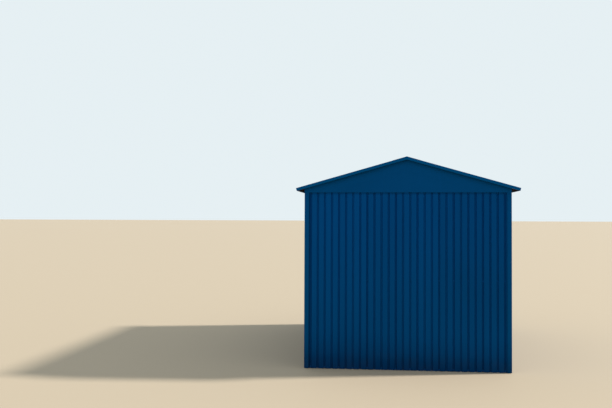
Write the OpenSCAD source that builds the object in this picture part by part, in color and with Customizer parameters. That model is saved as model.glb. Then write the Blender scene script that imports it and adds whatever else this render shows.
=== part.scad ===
// Beach hut of ribbed, painted sheet steel on a welded frame of square tube.
// The plain gable faces -Y and the doors face +Y. Z = 0 is the ground and the
// origin is the middle of the footprint. All lengths are in millimetres.

/* [Body] */
// Width over the corner trims
body_w = 2190; // [1600:1:3000]
// Length over the corner trims
body_l = 3558; // [2400:1:4600]
// Height from the ground to the top of the ridge cap
ridge_h = 2276; // [2000:1:2800]
// Height from the ground to the lower edge of the sheets
ground_gap = 6; // [2:1:20]

/* [Roof] */
// Slope of both roof sides, in degrees
roof_angle = 15.8; // [10:0.1:24]
// Overhang of the eaves past the corner trims
eaves_over = 88; // [40:1:200]
// Overhang of the verges past the gable panels
verge_over = 59; // [50:1:200]
// Height of the roof ribs
roof_rib_depth = 20; // [10:1:22]
// Distance from rib to rib on the roof, before it is fitted to the length
roof_rib_pitch = 118; // [90:1:200]
// Width of the flat pan between two roof ribs
roof_pan = 62; // [40:1:68]
// Width of one sloping side of a roof rib
roof_flank = 12; // [4:1:12]
// Height of the verge trims' face
verge_depth = 32; // [30:1:80]
// Width of the verge trims' top leg
verge_leg = 120; // [112:1:160]
// Width of the lip under the verge trims
verge_lip = 10; // [4:1:20]
// Clearance of the eaves trims over that lip and behind the verge trims' bend
eaves_gap = 0.5; // [0.3:0.1:2]
// Width of each side of the ridge cap
cap_w = 150; // [80:1:240]
// Clearance of the ridge cap's closers in the pans
closer_gap = 0.5; // [0.3:0.1:2]

/* [Sheets and trims] */
// Thickness of all sheets and trims
sheet_t = 0.7; // [0.5:0.1:1.2]
// Depth of the wall ribs
rib_depth = 10; // [6:1:20]
// Distance from rib to rib on the walls, before it is fitted to the width
rib_pitch = 76; // [60:1:120]
// Width of the floor of a groove between two wall ribs
groove_w = 14; // [10:1:30]
// Width of one sloping side of a wall rib
flank_w = 5; // [2:1:10]
// Distance from a sheet's end to the middle of its first groove
rib_end = 69; // [62:1:80]
// Width of each leg of the corner trims
trim_w = 47; // [40:1:54]
// How far the corner trims and the gable panels stand proud of the ribs
trim_step = 8; // [4:1:14]
// Bend radius of the trims' folded corners
bend_r = 2.5; // [1.5:0.5:5]
// Height of the gable panels' upright side edges
gable_side = 48; // [40:1:80]
// How far the wall sheets run up behind the gable panels
gable_lap = 36; // [10:1:40]

/* [Frame] */
// Side of the frame's square tube
tube_s = 40; // [30:1:60]
// Wall of the frame's square tube
tube_t = 2; // [1.5:0.5:4]
// Height of the ridge beam
beam_h = 60; // [40:1:100]
// Height of a rafter over the outer face of the eaves rail
rafter_heel = 30; // [15:1:40]
// Radius of the holes for the ground anchors
anchor_r = 7; // [4:0.5:10]
// Distance from the end of a side rail to its anchor hole
anchor_end = 160; // [100:1:400]

/* [Doors] */
// Clear width between the door posts
door_w = 1200; // [900:1:1300]
// Running gap round each door leaf
door_gap = 3; // [2:0.5:6]
// Depth of the angle iron that frames a leaf
angle_s = 30; // [20:1:38]
// Thickness of that angle iron
angle_t = 3; // [2:0.5:5]
// Width of the flange round the doorway
jamb_w = 40; // [20:1:60]
// Length of one hinge
hinge_l = 100; // [60:1:140]
// Radius of a hinge's barrel
hinge_r = 6; // [4:0.5:8]
// Width of one flap of a hinge
hinge_flap = 32; // [20:1:38]
// Thickness of a hinge's flaps
hinge_t = 2.5; // [1.5:0.5:4]
// Distance from a leaf's end to the middle of its outer hinge
hinge_end = 200; // [100:1:400]
// Length of the pull handle
handle_l = 150; // [100:1:240]
// Radius of the pull handle's bar
handle_r = 6; // [4:0.5:8]
// Distance of the pull handle's bar from the leaf
handle_out = 34; // [24:1:40]
// Height of the middle of the pull handle
handle_z = 980; // [800:1:1200]
// Height of the hasp above the middle of the pull handle
hasp_rise = 150; // [120:1:300]
// Length of the hasp's plate
hasp_l = 110; // [80:1:160]
// Height of the hasp's plate
hasp_h = 36; // [24:1:50]
// Thickness of the hasp's plate
hasp_t = 3; // [2:0.5:5]

/* [Hidden] */
$fn = 48;
// Reach of cutting bodies, and how far they run past what they cut
far = 10000;
past = 1;
paint = "#0b3a64";
trim_paint = "#124a76";
roof_paint = "#1a4f78";
steel = "#8a8f94";
galvanised = "#a9adb0";

// Outer planes of the ribs, and of the frame that the grooves lie on
crest_x = body_w / 2 - trim_step;
crest_y = body_l / 2 - trim_step;
sheet_depth = rib_depth + sheet_t;
frame_x = crest_x - sheet_depth;
frame_y = crest_y - sheet_depth;
inner_x = frame_x - tube_s;
inner_y = frame_y - tube_s;

// The roof: depths are square to the slope, from the top of the ridge cap
roof_under = roof_rib_depth + 3 * sheet_t;
slope_l = (body_w / 2 + eaves_over) / cos(roof_angle);
roof_y = body_l / 2 + verge_over;
function under_z(x) = ridge_h - x * tan(roof_angle) - roof_under / cos(roof_angle);

wall_top = under_z(body_w / 2);
gable_z = wall_top - gable_side;
sheet_top = gable_z + gable_lap;
rail_top = under_z(frame_x) - rafter_heel;
rail_z = rail_top - tube_s;
beam_top = under_z(tube_s / 2);
purlin_at = frame_x / cos(roof_angle) / 2;
girt_z = rail_z / 2;

// The doorway and its leaves
sheet_edge = door_w / 2 + sheet_t;
leaf_in = door_gap / 2;
leaf_out = door_w / 2 - sheet_t - door_gap;
leaf_w = leaf_out - leaf_in;
leaf_z = tube_s + sheet_t + door_gap;
leaf_h = rail_z - sheet_t - door_gap - leaf_z;
door_face = crest_y + sheet_t;

// Ribbed sheet, seen on its end: the ribs' tops lie on y = 0 and the grooves
// reach into +y. Each corner of the back is shifted so that the sloping sides
// have the sheet's full thickness.
function groove_count(length, end, pitch) = max(1, round((length - 2 * end) / pitch));
function groove_places(length, end, pitch) =
    let (count = groove_count(length, end, pitch), step = (length - 2 * end) / count)
    [for (i = [0 : count]) -length / 2 + end + i * step];

function reversed(points) = [for (i = [len(points) - 1 : -1 : 0]) points[i]];

function groove_face(middle, floor_w, side_w, depth) = [
    [middle - floor_w / 2 - side_w, 0],
    [middle - floor_w / 2, depth],
    [middle + floor_w / 2, depth],
    [middle + floor_w / 2 + side_w, 0]
];

function groove_back(middle, floor_w, side_w, depth) =
    let (shift = sheet_t * tan(atan2(depth, side_w) / 2))
    [for (p = groove_face(middle, floor_w, side_w, depth))
        [p[0] + (p[0] < middle ? -shift : shift), p[1] + sheet_t]];

module ribbed_sheet(first, last, grooves, floor_w, side_w, depth) {
    face = [for (g = grooves) each groove_face(g, floor_w, side_w, depth)];
    back = [for (g = grooves) each groove_back(g, floor_w, side_w, depth)];
    polygon(concat(
        [[first, 0]], face, [[last, 0]],
        [[last, sheet_t]], reversed(back), [[first, sheet_t]]
    ));
}

// A length of square tube along X, from the origin, open at both ends
module tube(length, height = tube_s) {
    difference() {
        cube([length, tube_s, height]);
        translate([-past, tube_t, tube_t])
            cube([length + 2 * past, tube_s - 2 * tube_t, height - 2 * tube_t]);
    }
}

// The same tube along Y, with its lower left corner on the origin
module tube_y(length, height = tube_s) {
    translate([tube_s, 0, 0]) rotate([0, 0, 90]) tube(length, height);
}

// The same tube standing on the origin
module tube_z(length) {
    translate([tube_s, 0, 0]) rotate([0, -90, 0]) tube(length);
}

// A piece and its mirror image on the other side
module both_x() {
    children();
    mirror([1, 0, 0]) children();
}

module both_y() {
    children();
    mirror([0, 1, 0]) children();
}

// The right roof side: x runs down the slope from the ridge and z = 0 is its top
module on_slope() {
    translate([0, 0, ridge_h]) rotate([0, roof_angle, 0]) children();
}

// Keeps what lies right of the ridge's middle plane
module right_half() {
    intersection() {
        children();
        translate([0, -far / 2, 0]) cube([far, far, far]);
    }
}

// Frame

module base_rails_side() {
    color(steel) both_x() difference() {
        translate([inner_x, -frame_y, 0]) tube_y(2 * frame_y);
        both_y() translate([inner_x + tube_s / 2, frame_y - anchor_end, -past])
            cylinder(r = anchor_r, h = tube_s + 2 * past);
    }
}

module base_rails_end() {
    color(steel) both_y() translate([-inner_x, inner_y, 0]) tube(2 * inner_x);
}

module corner_posts() {
    color(steel) both_x() both_y()
        translate([inner_x, inner_y, tube_s]) tube_z(rail_z - tube_s);
}

module mid_posts() {
    color(steel) both_x()
        translate([inner_x, -tube_s / 2, tube_s]) tube_z(rail_z - tube_s);
}

module door_posts() {
    color(steel) both_x()
        translate([door_w / 2, inner_y, tube_s]) tube_z(rail_z - tube_s);
}

module eaves_rails() {
    color(steel) both_x() translate([inner_x, -frame_y, rail_z]) tube_y(2 * frame_y);
}

module tie_rails() {
    color(steel) for (y = [-frame_y, -tube_s / 2, inner_y])
        translate([-inner_x, y, rail_z]) tube(2 * inner_x);
}

module girts_side() {
    color(steel) both_x() both_y()
        translate([inner_x, tube_s / 2, girt_z]) tube_y(inner_y - tube_s / 2);
}

module girt_front() {
    color(steel) translate([-inner_x, -frame_y, girt_z]) tube(2 * inner_x);
}

module girts_back() {
    color(steel) both_x() translate([door_w / 2 + tube_s, inner_y, girt_z])
        tube(inner_x - door_w / 2 - tube_s);
}

module rafters(y) {
    color(steel) both_x() intersection() {
        on_slope() translate([-tube_s, y, -roof_under - tube_s]) tube(slope_l);
        translate([tube_s / 2, y - past, rail_top])
            cube([frame_x - tube_s / 2, tube_s + 2 * past, far]);
    }
}

module king_posts() {
    color(steel) for (y = [-frame_y, -tube_s / 2, inner_y])
        translate([-tube_s / 2, y, rail_top]) tube_z(beam_top - beam_h - rail_top);
}

module ridge_beam() {
    color(steel) translate([-tube_s / 2, -frame_y, beam_top - beam_h])
        tube_y(2 * frame_y, beam_h);
}

module purlins() {
    color(steel) both_x() both_y() on_slope()
        translate([purlin_at - tube_s / 2, tube_s / 2, -roof_under - tube_s])
            tube_y(inner_y - tube_s / 2);
}

// Walls

module end_wall_sheet(first, last, low, high) {
    places = groove_places(body_w, rib_end, rib_pitch);
    reach = groove_w / 2 + flank_w + sheet_t;
    grooves = [for (g = places) if (g - reach > first && g + reach < last) g];
    color(paint) translate([0, -crest_y, low]) linear_extrude(high - low)
        ribbed_sheet(first, last, grooves, groove_w, flank_w, rib_depth);
}

module front_wall_sheet() {
    end_wall_sheet(-crest_x, crest_x, ground_gap, sheet_top);
}

module back_wall_sheet_right() {
    mirror([0, 1, 0]) end_wall_sheet(sheet_edge, crest_x, ground_gap, sheet_top);
}

module back_wall_sheet_left() {
    mirror([1, 0, 0]) back_wall_sheet_right();
}

module back_wall_sheet_top() {
    mirror([0, 1, 0]) end_wall_sheet(-sheet_edge, sheet_edge, rail_z, sheet_top);
}

module right_wall_sheet() {
    end = crest_y - sheet_t;
    grooves = groove_places(body_l, rib_end, rib_pitch);
    color(paint) translate([crest_x, 0, ground_gap]) rotate([0, 0, 90])
        linear_extrude(under_z(crest_x) - ground_gap)
            ribbed_sheet(-end, end, grooves, groove_w, flank_w, rib_depth);
}

module left_wall_sheet() {
    mirror([1, 0, 0]) right_wall_sheet();
}

// A plain panel, proud of the ribs. The return along its lower edge stands on
// the ribs, and the one along each slope stands on the rafters' face.
module front_gable_panel() {
    side = body_w / 2;
    foot = side - bend_r;
    return_end = crest_x - 2 * sheet_t;
    color(paint) union() {
        translate([-foot, -body_l / 2, gable_z]) cube([2 * foot, trim_step, sheet_t]);
        translate([0, sheet_t - body_l / 2, 0]) rotate([90, 0, 0])
            linear_extrude(sheet_t) polygon([
                [-side, gable_z], [side, gable_z], [side, wall_top],
                [0, under_z(0)], [-side, wall_top]
            ]);
        both_x() intersection() {
            on_slope() translate([-tube_s, -body_l / 2, -roof_under - sheet_t])
                cube([slope_l, body_l / 2 - frame_y, sheet_t]);
            translate([0, -body_l, gable_z]) cube([return_end, body_l, far]);
        }
    }
}

module back_gable_panel() {
    mirror([0, 1, 0]) front_gable_panel();
}

// An angle in plan with its outer corner on the origin and a bend round it
module folded_angle(leg_w) {
    difference() {
        union() {
            translate([bend_r, 0]) square([leg_w - bend_r, leg_w]);
            translate([0, bend_r]) square([leg_w, leg_w - bend_r]);
            translate([bend_r, bend_r]) circle(bend_r);
        }
        translate([bend_r, sheet_t]) square([far, far]);
        translate([sheet_t, bend_r]) square([far, far]);
        translate([bend_r, bend_r]) circle(bend_r - sheet_t);
    }
}

// Both legs end in a lip that stands on the sheets' outer ribs. The leg on the
// gable ends under the gable panel, and the other one under the roof.
module corner_trim_front_left() {
    lip = trim_w - sheet_t;
    color(trim_paint) translate([-body_w / 2, -body_l / 2, 0]) difference() {
        translate([0, 0, ground_gap]) linear_extrude(wall_top - ground_gap) {
            folded_angle(trim_w);
            translate([lip, 0]) square([sheet_t, trim_step]);
            translate([0, lip]) square([trim_step, sheet_t]);
        }
        translate([-past, -past, gable_z])
            cube([trim_w + 2 * past, sheet_t + past, far]);
        translate([lip - past, -past, gable_z])
            cube([sheet_t + 2 * past, trim_step + 2 * past, far]);
    }
}

module corner_trim_front_right() {
    mirror([1, 0, 0]) corner_trim_front_left();
}

module corner_trim_back_left() {
    mirror([0, 1, 0]) corner_trim_front_left();
}

module corner_trim_back_right() {
    mirror([1, 0, 0]) corner_trim_back_left();
}

// Roof

// The middles of the outer pans lie over the gable panels
pans = groove_places(body_l, 0, roof_rib_pitch);

module roof_sheet_right() {
    end = roof_y - bend_r;
    ridge_start = tube_s / 2;
    color(roof_paint) on_slope() translate([ridge_start, 0, -2 * sheet_t])
        rotate([90, 0, 90]) linear_extrude(slope_l - ridge_start) mirror([0, 1])
            ribbed_sheet(-end, end, pans, roof_pan, roof_flank, roof_rib_depth);
}

module roof_sheet_left() {
    mirror([1, 0, 0]) roof_sheet_right();
}

// One pan's space under the cap, seen down the slope
module closer_section(pan) {
    top = pan + roof_pan / 2 + roof_flank - closer_gap;
    low = pan + roof_pan / 2 - closer_gap;
    floor_z = closer_gap - 2 * sheet_t - roof_rib_depth;
    polygon([
        [2 * pan - top, -2 * sheet_t], [2 * pan - low, floor_z],
        [low, floor_z], [top, -2 * sheet_t], [top, -sheet_t], [2 * pan - top, -sheet_t]
    ]);
}

// Two flaps over the verge trims, with a closer turned down into each free pan
module ridge_cap() {
    free = roof_y - verge_leg - roof_pan / 2 - roof_flank;
    color(roof_paint) both_x() right_half() on_slope() union() {
        translate([-past, -roof_y, -sheet_t])
            cube([cap_w + past, 2 * roof_y, sheet_t]);
        translate([cap_w - sheet_t, 0, 0]) rotate([90, 0, 90]) linear_extrude(sheet_t)
            for (pan = pans) if (abs(pan) < free) closer_section(pan);
    }
}

// An angle under the sheet's pans, from the walls out to the sheet's edge, whose
// face is turned down to the verge trims' lips
module eaves_trim_right() {
    leg_under = roof_under + sheet_t;
    start = (body_w / 2 + leg_under * sin(roof_angle)) / cos(roof_angle);
    end = roof_y - bend_r - eaves_gap;
    face_foot = verge_depth - eaves_gap;
    color(trim_paint) on_slope() union() {
        translate([start, -end, -leg_under]) cube([slope_l - start, 2 * end, sheet_t]);
        translate([slope_l - sheet_t, -end, -face_foot])
            cube([sheet_t, 2 * end, face_foot - roof_under]);
    }
}

module eaves_trim_left() {
    mirror([1, 0, 0]) eaves_trim_right();
}

// A rectangle whose corners towards y = 0 have the radius r
module eased_rectangle(width, height, r) {
    union() {
        translate([r, 0]) square([width - r, height]);
        translate([0, r]) square([width, height - 2 * r]);
        translate([r, r]) circle(r);
        translate([r, height - r]) circle(r);
    }
}

// Seen on its end: a top leg over the sheet's edge, a face and a lip turned in
module verge_section() {
    difference() {
        eased_rectangle(verge_leg, verge_depth, bend_r);
        translate([sheet_t, sheet_t])
            eased_rectangle(verge_leg, verge_depth - 2 * sheet_t, bend_r - sheet_t);
        translate([verge_lip, sheet_t]) square([verge_leg, verge_depth]);
    }
}

module verge_trim_front_right() {
    color(trim_paint) right_half() on_slope()
        translate([-verge_depth, -roof_y, -sheet_t]) rotate([90, 0, 90])
            linear_extrude(slope_l + verge_depth) mirror([0, 1]) verge_section();
}

module verge_trim_front_left() {
    mirror([1, 0, 0]) verge_trim_front_right();
}

module verge_trim_back_right() {
    mirror([0, 1, 0]) verge_trim_front_right();
}

module verge_trim_back_left() {
    mirror([1, 0, 0]) verge_trim_back_right();
}

// Doors

// A flat ring of the leaf's size, with its lower inner corner on the origin
module leaf_ring(ring_w, depth) {
    difference() {
        cube([leaf_w, depth, leaf_h]);
        translate([ring_w, -past, ring_w])
            cube([leaf_w - 2 * ring_w, depth + 2 * past, leaf_h - 2 * ring_w]);
    }
}

// A ribbed sheet between a cover strip and an angle iron frame with a middle bar
module door_leaf_right() {
    grooves = groove_places(leaf_w, rib_end, rib_pitch);
    color(paint) translate([leaf_in, door_face, leaf_z]) mirror([0, 1, 0]) union() {
        leaf_ring(trim_w, sheet_t);
        translate([leaf_w / 2, sheet_t, 0]) linear_extrude(leaf_h)
            ribbed_sheet(-leaf_w / 2, leaf_w / 2, grooves, groove_w, flank_w, rib_depth);
        translate([0, sheet_t + sheet_depth, 0]) {
            leaf_ring(angle_s, angle_t);
            leaf_ring(angle_t, angle_s);
            translate([0, 0, leaf_h / 2]) {
                cube([leaf_w, angle_s, angle_t]);
                cube([leaf_w, angle_t, angle_s]);
            }
        }
    }
}

module door_leaf_left() {
    mirror([1, 0, 0]) door_leaf_right();
}

// Flanges over the sheets' edges, with returns along the posts and the tie rail
module door_frame_trim() {
    flange = door_w / 2 + jamb_w;
    clear = door_w / 2 - sheet_t;
    color(trim_paint) difference() {
        union() {
            translate([-flange, door_face - sheet_t, ground_gap])
                cube([2 * flange, sheet_t, gable_z - ground_gap]);
            translate([-door_w / 2, inner_y, tube_s])
                cube([door_w, door_face - inner_y, rail_z - tube_s]);
        }
        translate([-clear, -far, tube_s])
            cube([2 * clear, 2 * far, rail_z - sheet_t - tube_s]);
        translate([-door_w / 2, -far, 0]) cube([door_w, 2 * far, tube_s]);
    }
}

module door_sill() {
    inside = door_w / 2 - sheet_t;
    color(trim_paint) union() {
        translate([-inside, door_face - sheet_t, ground_gap])
            cube([2 * inside, sheet_t, tube_s + sheet_t - ground_gap]);
        translate([-inside, inner_y, tube_s])
            cube([2 * inside, door_face - inner_y, sheet_t]);
    }
}

module door_hinges() {
    places = [hinge_end, leaf_h / 2, leaf_h - hinge_end];
    color(galvanised) both_x() for (z = places)
        translate([leaf_out + door_gap / 2, door_face, leaf_z + z - hinge_l / 2])
            union() {
                translate([0, hinge_r, 0]) cylinder(r = hinge_r, h = hinge_l);
                translate([-hinge_flap, 0, 0]) cube([2 * hinge_flap, hinge_t, hinge_l]);
            }
}

module door_handle() {
    foot_r = 2.5 * handle_r;
    color(galvanised) translate([leaf_in + trim_w / 2, door_face, handle_z]) {
        translate([0, handle_out, -handle_l / 2]) cylinder(r = handle_r, h = handle_l);
        for (z = [handle_r - handle_l / 2, handle_l / 2 - handle_r])
            translate([0, 0, z]) rotate([-90, 0, 0]) {
                cylinder(r = handle_r, h = handle_out);
                cylinder(r = foot_r, h = hinge_t);
            }
    }
}

module door_hasp() {
    staple_r = hasp_h / 3;
    wire_r = hasp_t;
    color(galvanised) translate([0, door_face, handle_z + hasp_rise]) {
        translate([-hasp_l / 2, 0, -hasp_h / 2]) cube([hasp_l, hasp_t, hasp_h]);
        translate([hasp_l / 4, 0, 0]) rotate([0, 90, 0]) rotate_extrude(angle = 180)
            translate([staple_r, 0]) circle(wire_r);
    }
}

base_rails_side();
base_rails_end();
corner_posts();
mid_posts();
door_posts();
eaves_rails();
tie_rails();
girts_side();
girt_front();
girts_back();
rafters(-frame_y);  // rafters_front
rafters(-tube_s / 2);  // rafters_middle
rafters(inner_y);  // rafters_back
king_posts();
ridge_beam();
purlins();
front_wall_sheet();
back_wall_sheet_left();
back_wall_sheet_right();
back_wall_sheet_top();
left_wall_sheet();
right_wall_sheet();
front_gable_panel();
back_gable_panel();
corner_trim_front_left();
corner_trim_front_right();
corner_trim_back_left();
corner_trim_back_right();
roof_sheet_left();
roof_sheet_right();
ridge_cap();
eaves_trim_left();
eaves_trim_right();
verge_trim_front_left();
verge_trim_front_right();
verge_trim_back_left();
verge_trim_back_right();
door_leaf_left();
door_leaf_right();
door_frame_trim();
door_sill();
door_hinges();
door_handle();
door_hasp();
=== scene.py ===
import math
import random

import bpy
from mathutils import Matrix, Vector


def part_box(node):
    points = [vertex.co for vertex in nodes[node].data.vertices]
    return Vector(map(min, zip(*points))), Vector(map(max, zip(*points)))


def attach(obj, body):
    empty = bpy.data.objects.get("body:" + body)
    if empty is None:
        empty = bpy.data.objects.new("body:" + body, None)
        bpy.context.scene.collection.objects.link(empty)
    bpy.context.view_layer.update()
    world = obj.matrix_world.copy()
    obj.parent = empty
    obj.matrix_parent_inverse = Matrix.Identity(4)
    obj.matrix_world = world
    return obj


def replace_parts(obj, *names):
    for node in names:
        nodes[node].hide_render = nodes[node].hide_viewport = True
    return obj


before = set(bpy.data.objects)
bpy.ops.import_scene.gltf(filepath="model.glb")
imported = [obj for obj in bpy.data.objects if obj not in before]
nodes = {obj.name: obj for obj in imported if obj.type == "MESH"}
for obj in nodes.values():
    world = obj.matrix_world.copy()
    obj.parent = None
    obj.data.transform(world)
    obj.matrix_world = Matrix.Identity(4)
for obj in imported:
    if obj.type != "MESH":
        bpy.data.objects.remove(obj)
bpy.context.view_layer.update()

# The hut's own sizes in metres, and the slope of its roof
SLOPE = math.radians(15.8)
SHEET = 0.0007
RIB, GROOVE_FLOOR, WALL_FLANK = 0.010, 0.014, 0.005
WALL_PITCH, WALL_END = 0.076, 0.069
SHEET_GROOVES, FIRST_LAP = 10, 8
ROOF_PITCH, ROOF_PAN, ROOF_FLANK, ROOF_RIB = 0.118, 0.062, 0.012, 0.020
EAVES_FOLD = ROOF_RIB + 5 * SHEET
TRIM_W = 0.047
TUBE = 0.040
HINGE_L, HINGE_W, HINGE_T = 0.100, 0.032, 0.0025

# Places read from the frame
CREST_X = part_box("right_wall_sheet")[1].x
CREST_Y = -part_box("front_wall_sheet")[0].y
GROOVE_X = CREST_X - RIB
GROOVE_Y = CREST_Y - RIB
BODY_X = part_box("corner_trim_front_right")[1].x
BODY_Y = -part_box("corner_trim_front_right")[0].y
RIDGE_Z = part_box("ridge_cap")[1].z
GABLE_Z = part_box("front_gable_panel")[0].z
SHEET_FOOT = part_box("front_wall_sheet")[0].z
ROOF_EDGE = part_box("roof_sheet_right")[1]
LEAF_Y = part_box("door_leaf_right")[1].y
LEAF_NEAR, LEAF_FAR = (corner.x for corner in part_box("door_leaf_right"))
LEAF_LOW, LEAF_HIGH = (corner.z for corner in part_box("door_leaf_right"))
HANDLE_Z = (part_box("door_handle")[0].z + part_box("door_handle")[1].z) / 2
DOOR_FACE, HINGE_REACH = (corner.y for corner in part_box("door_hinges"))

# Screws and rivets: radii, and heights above the sheet that they hold down
RING_R, WASHER_R, FLANGE_R, HEAD_R = 0.0070, 0.0076, 0.0056, 0.0046
RING_TOP, WASHER_TOP, FLANGE_TOP, HEAD_TOP = 0.0012, 0.0022, 0.0030, 0.0070
RIVET_R, RIVET_TOP = 0.0042, 0.0016

# Rows of fasteners: how far they lie from the edge, rib, ridge or middle they follow
RAIL_LINE, PANEL_LINE, SLOPE_LINE, CAP_LINE = 0.008, 0.012, 0.053, 0.126
VERGE_LINE, EAVES_LINE = 0.008, 0.040
STRIP_LINE, LEAF_LINE, LINTEL_LINE, SILL_LINE = 0.010, 0.024, 0.002, 0.022

# Room that fasteners leave beside the doorway's trim and past the ends of a hinge
TRIM_CLEAR, HINGE_CLEAR = 0.010, 0.012

# Foam closers: half length, place from the roof's edge, and clearances
CLOSER_HALF, CLOSER_INSET = 0.016, 0.036
CLOSER_SIDE, CLOSER_END, CLOSER_BELOW, CLOSER_ABOVE = 0.0008, 0.0005, 0.0006, 0.0003

TINY = 1e-6

# Paint and metal, as linear colours
WALL_BLUE = (0.0004, 0.0452, 0.1815)
GABLE_BLUE = (0.0004, 0.0455, 0.1650)
TRIM_BLUE = (0.0004, 0.0475, 0.1740)
# The verge trims' paint: a lighter copy of the trim paint, a painted highlight
VERGE_LIT_BLUE = (0.0004, 0.0575, 0.1850)
ROOF_BLUE = (0.0010, 0.0580, 0.1800)
BACKING_COAT = (0.155, 0.120, 0.098)
# Painted shade under the eaves trims' legs
EAVES_SHADE = (0.040, 0.028, 0.022)
PRIMER = (0.165, 0.175, 0.185)
BURNT_WELD = (0.060, 0.036, 0.022)
ZINC = (0.48, 0.50, 0.52)
RUBBER = (0.012, 0.012, 0.013)
FOAM = (0.035, 0.036, 0.038)

# Dirt, wear and painted shade: tints that multiply the paint, and colours that lie over it
# Grooves: soiling and painted shade in the recess
GROOVE_DIRT_AND_SHADE = (0.0, 0.613, 0.781)
# Painted shade beside the corner trims and under the gable panels
PAINTED_EDGE_SHADE = (0.20, 0.66, 0.70)
TRIM_SHADE = (0.10, 0.52, 0.60)
# Painted light: the lower walls less blue, as if they saw less sky
SKYLIGHT_FALLOFF_TINT = (0.90, 0.96, 0.84)
# Painted shade, darker towards the foot
FOOT_SHADE = (0.25, 0.50, 0.58)
DUST = (0.50, 0.42, 0.31)
# A lap's cut edge, with painted shadow of the gap
CUT_EDGE_AND_GAP_SHADE = (0.0, 0.008, 0.030)

# Heights over which the painted fall of sky light, the painted shade with the sand towards
# the foot, and the darker foot fade out
SKYLIGHT_FALLOFF_LOW, SKYLIGHT_FALLOFF_HIGH = 0.3, 2.1
FOOT_SHADE_AND_SAND_HIGH = 0.42
DARK_FOOT_LOW, DARK_FOOT_HIGH = 0.08, 0.19

# Along a wall the sheets take three tones in turn: a step lighter, as given, and a step
# darker
SHEET_TONES, SHEET_TONE_STEP = 3, 0.068

# Satin paint, the roof's paint that the sun has chalked, and its added roughness
SHEEN_TINT = (0.02, 0.45, 0.80, 1.0)
PAINT_GLOSS = {"Specular_IOR_Level": 0.30, "Specular_Tint": SHEEN_TINT}
CHALK_GLOSS = {"Specular_IOR_Level": 0.12, "Specular_Tint": SHEEN_TINT}
CHALKED = 0.24


class Shade:
    """An output of a shader node that Python sums can use like a number."""

    def __init__(self, finish, socket):
        self.finish = finish
        self.socket = socket

    def worked(self, operation, *values):
        return self.finish.node(
            "ShaderNodeMath", {"operation": operation}, dict(enumerate(values))
        )

    def __add__(self, other):
        return self.worked("ADD", self, other)

    def __sub__(self, other):
        return self.worked("SUBTRACT", self, other)

    def __rsub__(self, other):
        return self.worked("SUBTRACT", other, self)

    def __neg__(self):
        return self.worked("SUBTRACT", 0.0, self)

    def __mul__(self, other):
        return self.worked("MULTIPLY", self, other)

    def __truediv__(self, other):
        return self.worked("DIVIDE", self, other)

    def __mod__(self, other):
        return self.worked("FLOORED_MODULO", self, other)

    def __abs__(self):
        return self.worked("ABSOLUTE", self)

    def __gt__(self, other):
        return self.worked("GREATER_THAN", self, other)

    def __lt__(self, other):
        return self.worked("LESS_THAN", self, other)

    __radd__ = __add__
    __rmul__ = __mul__

    def floor(self):
        return self.worked("FLOOR", self)

    def sign(self):
        return self.worked("SIGN", self)

    def within(self, low, high):
        """0 at low and less, 1 at high and more, and a soft step between them."""
        return self.finish.node(
            "ShaderNodeMapRange",
            {"interpolation_type": "SMOOTHSTEP"},
            {"Value": self, "From Min": low, "From Max": high},
        )


class Finish:
    """A material made of nodes."""

    def __init__(self, name):
        self.material = bpy.data.materials.new(name)
        self.material.use_nodes = True
        self.tree = self.material.node_tree
        self.tree.nodes.clear()
        self.place = self.node("ShaderNodeTexCoord", output="Object")
        self.x, self.y, self.z = self.parts(self.place)
        normal = self.node("ShaderNodeNewGeometry", output="True Normal")
        self.normal_x, self.normal_y, self.normal_z = self.parts(normal)

    def node(self, kind, settings=None, inputs=None, output=0):
        """Adds a node with its settings first, then its values and links."""
        made = self.tree.nodes.new(kind)
        for name, setting in (settings or {}).items():
            setattr(made, name, setting)
        for name, value in (inputs or {}).items():
            if isinstance(value, Shade):
                self.tree.links.new(value.socket, made.inputs[name])
            else:
                made.inputs[name].default_value = value
        return Shade(self, made.outputs[output]) if made.outputs else None

    def parts(self, vector):
        split = self.node("ShaderNodeSeparateXYZ", inputs={0: vector}).socket.node
        return [Shade(self, socket) for socket in split.outputs]

    def stretched(self, across, along, up):
        """The place on the piece, with each axis stretched by itself."""
        return self.node(
            "ShaderNodeVectorMath",
            {"operation": "MULTIPLY"},
            {0: self.place, 1: (across, along, up)},
        )

    def noise(self, scale, detail=2.0, place=None):
        return self.node(
            "ShaderNodeTexNoise",
            inputs={"Vector": place or self.place, "Scale": scale, "Detail": detail},
        )

    def scatter(self, number):
        """A value from 0 to 1 that is steady for each whole number."""
        return self.node(
            "ShaderNodeTexWhiteNoise", {"noise_dimensions": "1D"}, {"W": number}
        )

    def mixed(self, share, first, second, **settings):
        """The first colour, and the second one where the share is 1."""
        inputs = {0: share, 6: opaque(first), 7: opaque(second)}
        settings = {"data_type": "RGBA", **settings}
        return self.node("ShaderNodeMix", settings, inputs, output=2)

    def tinted(self, share, colour, tint):
        """The colour, multiplied by the tint where the share is 1."""
        return self.mixed(share, colour, tint, blend_type="MULTIPLY")

    def brightened(self, colour, by):
        return self.node(
            "ShaderNodeVectorMath", {"operation": "SCALE"}, {0: colour, 3: by}
        )

    def relief(self, height):
        """The normal of a surface with that height, in metres."""
        return self.node("ShaderNodeBump", inputs={"Distance": 1.0, "Height": height})

    def coat(self, colour, roughness, metallic=0.0, normal=None, **fixed):
        """One layer of paint or metal. Fixed values have _ for a space in their names."""
        inputs = {
            "Base Color": opaque(colour),
            "Roughness": roughness,
            "Metallic": metallic,
        }
        if normal is not None:
            inputs["Normal"] = normal
        inputs.update({name.replace("_", " "): value for name, value in fixed.items()})
        return self.node("ShaderNodeBsdfPrincipled", inputs=inputs)

    def covered(self, coat):
        """The material, with that coat as its surface."""
        self.node("ShaderNodeOutputMaterial", inputs={"Surface": coat})
        return self.material

    def surface(self, *values, **fixed):
        return self.covered(self.coat(*values, **fixed))


def opaque(colour):
    return colour if isinstance(colour, Shade) else (*colour, 1.0)


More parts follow.
